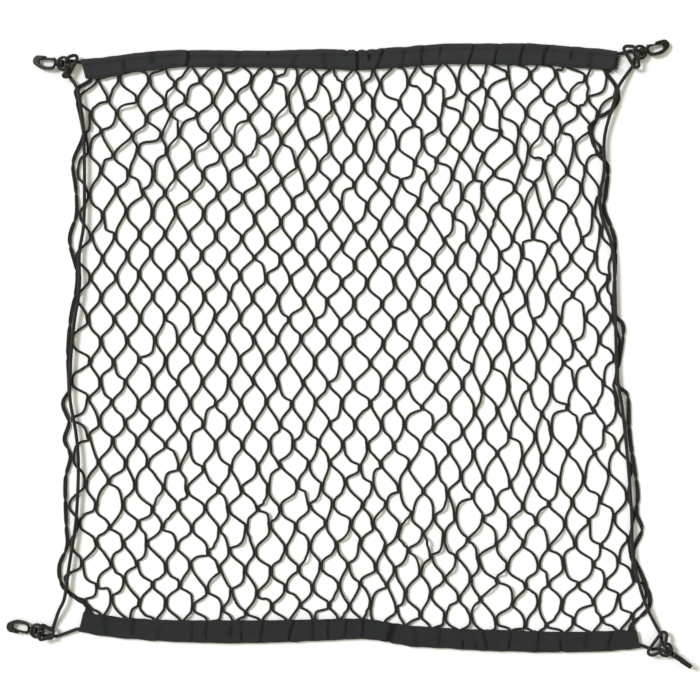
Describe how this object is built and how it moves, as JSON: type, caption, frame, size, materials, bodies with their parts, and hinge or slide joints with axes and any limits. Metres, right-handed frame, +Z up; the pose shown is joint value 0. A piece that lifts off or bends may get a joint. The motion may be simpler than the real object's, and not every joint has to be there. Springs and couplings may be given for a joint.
{
  "type": "cargo net",
  "caption": "Elastic boot-floor net with folded tape edges and a cord loop hitched to swivelling spring hooks at its corners.",
  "frame": {"origin": "on the floor, under the middle of the whole net with its hooks", "axes": "+X across the net along its tape sleeves, +Y from the lower sleeve to the upper one, +Z up from the surface it lies on"},
  "size_m": [0.8002, 0.7341, 0.016],
  "materials": {
    "netting": "matte braided elastic cord",
    "tape": "matte woven tape",
    "shock_cord": "braided cover over a rubber core",
    "hook_plastic": "satin moulded plastic"
  },
  "bodies": {
    "net": {"net_panel": "netting", "sleeve_top": "tape", "sleeve_bottom": "tape", "edge_cord": "shock_cord", "ring_top_left": "hook_plastic", "ring_top_right": "hook_plastic", "ring_bottom_left": "hook_plastic", "ring_bottom_right": "hook_plastic"},
    "hook_top_left": {"hook_top_left": "hook_plastic"},
    "gate_top_left": {"gate_top_left": "hook_plastic"},
    "hook_top_right": {"hook_top_right": "hook_plastic"},
    "gate_top_right": {"gate_top_right": "hook_plastic"},
    "hook_bottom_left": {"hook_bottom_left": "hook_plastic"},
    "gate_bottom_left": {"gate_bottom_left": "hook_plastic"},
    "hook_bottom_right": {"hook_bottom_right": "hook_plastic"},
    "gate_bottom_right": {"gate_bottom_right": "hook_plastic"}
  },
  "joints": [
    {"name": "swivel_top_left", "type": "hinge", "parent": "net", "child": "hook_top_left", "pos_m": [-0.34179, 0.3398, 0.00506], "axis": [-0.9883, 0.1161, -0.0993], "continuous": true},
    {"name": "spring_top_left", "type": "hinge", "parent": "hook_top_left", "child": "gate_top_left", "pos_m": [-0.34419, 0.34411, 0.00477], "axis": [0.0986, -0.0116, -0.9951], "range_deg": [-16, 0], "stiffness_Nm_per_rad": 0.006},
    {"name": "swivel_top_right", "type": "hinge", "parent": "net", "child": "hook_top_right", "pos_m": [0.34904, 0.35476, 0.00506], "axis": [0.9516, 0.2909, -0.0993], "continuous": true},
    {"name": "spring_top_right", "type": "hinge", "parent": "hook_top_right", "child": "gate_top_right", "pos_m": [0.35063, 0.35943, 0.00477], "axis": [0.095, 0.029, 0.9951], "range_deg": [-16, 0], "stiffness_Nm_per_rad": 0.006},
    {"name": "swivel_bottom_left", "type": "hinge", "parent": "net", "child": "hook_bottom_left", "pos_m": [-0.37284, -0.32152, 0.00506], "axis": [-0.9828, 0.1557, -0.0993], "continuous": true},
    {"name": "spring_bottom_left", "type": "hinge", "parent": "hook_bottom_left", "child": "gate_bottom_left", "pos_m": [-0.37631, -0.32502, 0.00477], "axis": [-0.0981, 0.0155, 0.9951], "range_deg": [-16, 0], "stiffness_Nm_per_rad": 0.006},
    {"name": "swivel_bottom_right", "type": "hinge", "parent": "net", "child": "hook_bottom_right", "pos_m": [0.37735, -0.3498, 0.00796], "axis": [0.8264, -0.5574, 0.0802], "continuous": true},
    {"name": "spring_bottom_right", "type": "hinge", "parent": "hook_bottom_right", "child": "gate_bottom_right", "pos_m": [0.37948, -0.35123, 0.01218], "axis": [-0.5592, -0.829, 0], "range_deg": [-16, 0], "stiffness_Nm_per_rad": 0.006}
  ]
}
